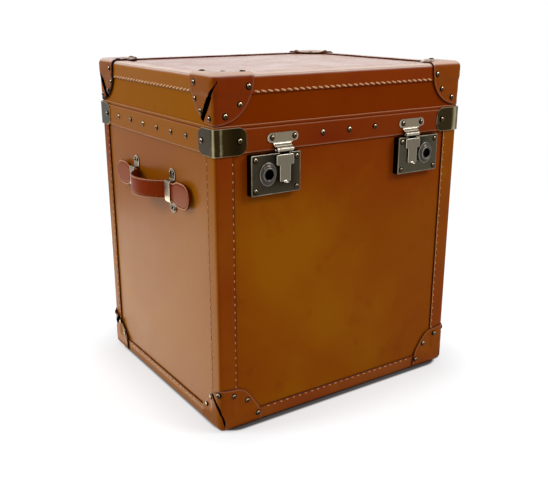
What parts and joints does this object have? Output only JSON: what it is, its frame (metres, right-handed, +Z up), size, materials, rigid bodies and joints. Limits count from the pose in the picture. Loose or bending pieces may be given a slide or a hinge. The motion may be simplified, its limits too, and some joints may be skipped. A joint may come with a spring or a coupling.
{
  "type": "leather trunk",
  "caption": "Square leather-covered trunk with a shallow hinged lid, moulded corner caps, hasp locks with sliding knobs and leather carrying handles",
  "frame": {"origin": "centre of the trunk's outline on the floor that it stands on", "axes": "+X to the trunk's right as seen from the front, +Y to the back, +Z up; the locks face -Y"},
  "size_m": [0.5274, 0.4238, 0.535],
  "materials": {
    "board": "plain plywood",
    "cloth": "woven cotton lining",
    "panel_leather": "waxed and polished tan leather",
    "trim_leather": "stitched bridle leather",
    "cap_leather": "moulded thick leather",
    "strap_leather": "doubled and stitched leather",
    "bronze": "dark antique patina",
    "brass": "aged and worn",
    "steel": "worn plating"
  },
  "bodies": {
    "trunk": {"base_board": "board", "front_board": "board", "back_board": "board", "left_board": "board", "right_board": "board", "body_lining": "cloth", "leather_front": "panel_leather", "leather_back": "panel_leather", "leather_left": "panel_leather", "leather_right": "panel_leather", "corner_strip_front_left": "trim_leather", "corner_strip_front_right": "trim_leather", "corner_strip_back_left": "trim_leather", "corner_strip_back_right": "trim_leather", "base_binding": "trim_leather", "base_cap_front_left": "cap_leather", "base_cap_front_right": "cap_leather", "base_cap_back_left": "cap_leather", "base_cap_back_right": "cap_leather", "lock_case_left": "bronze", "lock_case_right": "bronze", "lock_spring_left": "steel", "lock_spring_right": "steel", "handle_loop_front_left": "brass", "handle_loop_front_right": "brass", "handle_loop_back_left": "brass", "handle_loop_back_right": "brass", "hinge_body_leaf_left": "brass", "hinge_body_leaf_right": "brass", "hinge_pin_left": "brass", "hinge_pin_right": "brass"},
    "lid": {"lid_top_board": "board", "lid_frame": "board", "lid_lining": "cloth", "lid_top_leather": "panel_leather", "lid_side_leather": "panel_leather", "lid_binding": "trim_leather", "lid_cap_front_left": "cap_leather", "lid_cap_front_right": "cap_leather", "lid_cap_back_left": "cap_leather", "lid_cap_back_right": "cap_leather", "lid_band": "cap_leather", "band_bracket_front_left": "bronze", "band_bracket_front_right": "bronze", "band_bracket_back_left": "bronze", "band_bracket_back_right": "bronze", "latch_plate_left": "brass", "latch_plate_right": "brass", "hasp_pin_left": "brass", "hasp_pin_right": "brass", "hinge_lid_leaf_left": "brass", "hinge_lid_leaf_right": "brass"},
    "hasp_left": {"hasp_left": "steel"},
    "hasp_right": {"hasp_right": "steel"},
    "slide_left": {"lock_knob_left": "steel", "lock_bolt_left": "steel"},
    "slide_right": {"lock_knob_right": "steel", "lock_bolt_right": "steel"},
    "strap_left": {"handle_strap_left": "strap_leather"},
    "strap_right": {"handle_strap_right": "strap_leather"}
  },
  "joints": [
    {"name": "lid_hinge", "type": "hinge", "parent": "trunk", "child": "lid", "pos_m": [0, 0.20865, 0.423], "axis": [-1, 0, 0], "range_deg": [0, 100]},
    {"name": "hasp_hinge_left", "type": "hinge", "parent": "lid", "child": "hasp_left", "pos_m": [-0.124, -0.20335, 0.424], "axis": [-1, 0, 0], "range_deg": [0, 140]},
    {"name": "hasp_hinge_right", "type": "hinge", "parent": "lid", "child": "hasp_right", "pos_m": [0.124, -0.20335, 0.424], "axis": [-1, 0, 0], "range_deg": [0, 140]},
    {"name": "knob_slide_left", "type": "slide", "parent": "trunk", "child": "slide_left", "axis": [-1, 0, 0], "range_m": [0, 0.006], "stiffness_N_per_m": 300, "springref_m": -0.002, "deforming": ["lock_spring_left"]},
    {"name": "knob_slide_right", "type": "slide", "parent": "trunk", "child": "slide_right", "axis": [1, 0, 0], "range_m": [0, 0.006], "stiffness_N_per_m": 300, "springref_m": -0.002, "deforming": ["lock_spring_right"]},
    {"name": "handle_slide_left", "type": "slide", "parent": "trunk", "child": "strap_left", "axis": [0, 1, 0], "range_m": [-0.004, 0.004]},
    {"name": "handle_slide_right", "type": "slide", "parent": "trunk", "child": "strap_right", "axis": [0, 1, 0], "range_m": [-0.004, 0.004]}
  ]
}
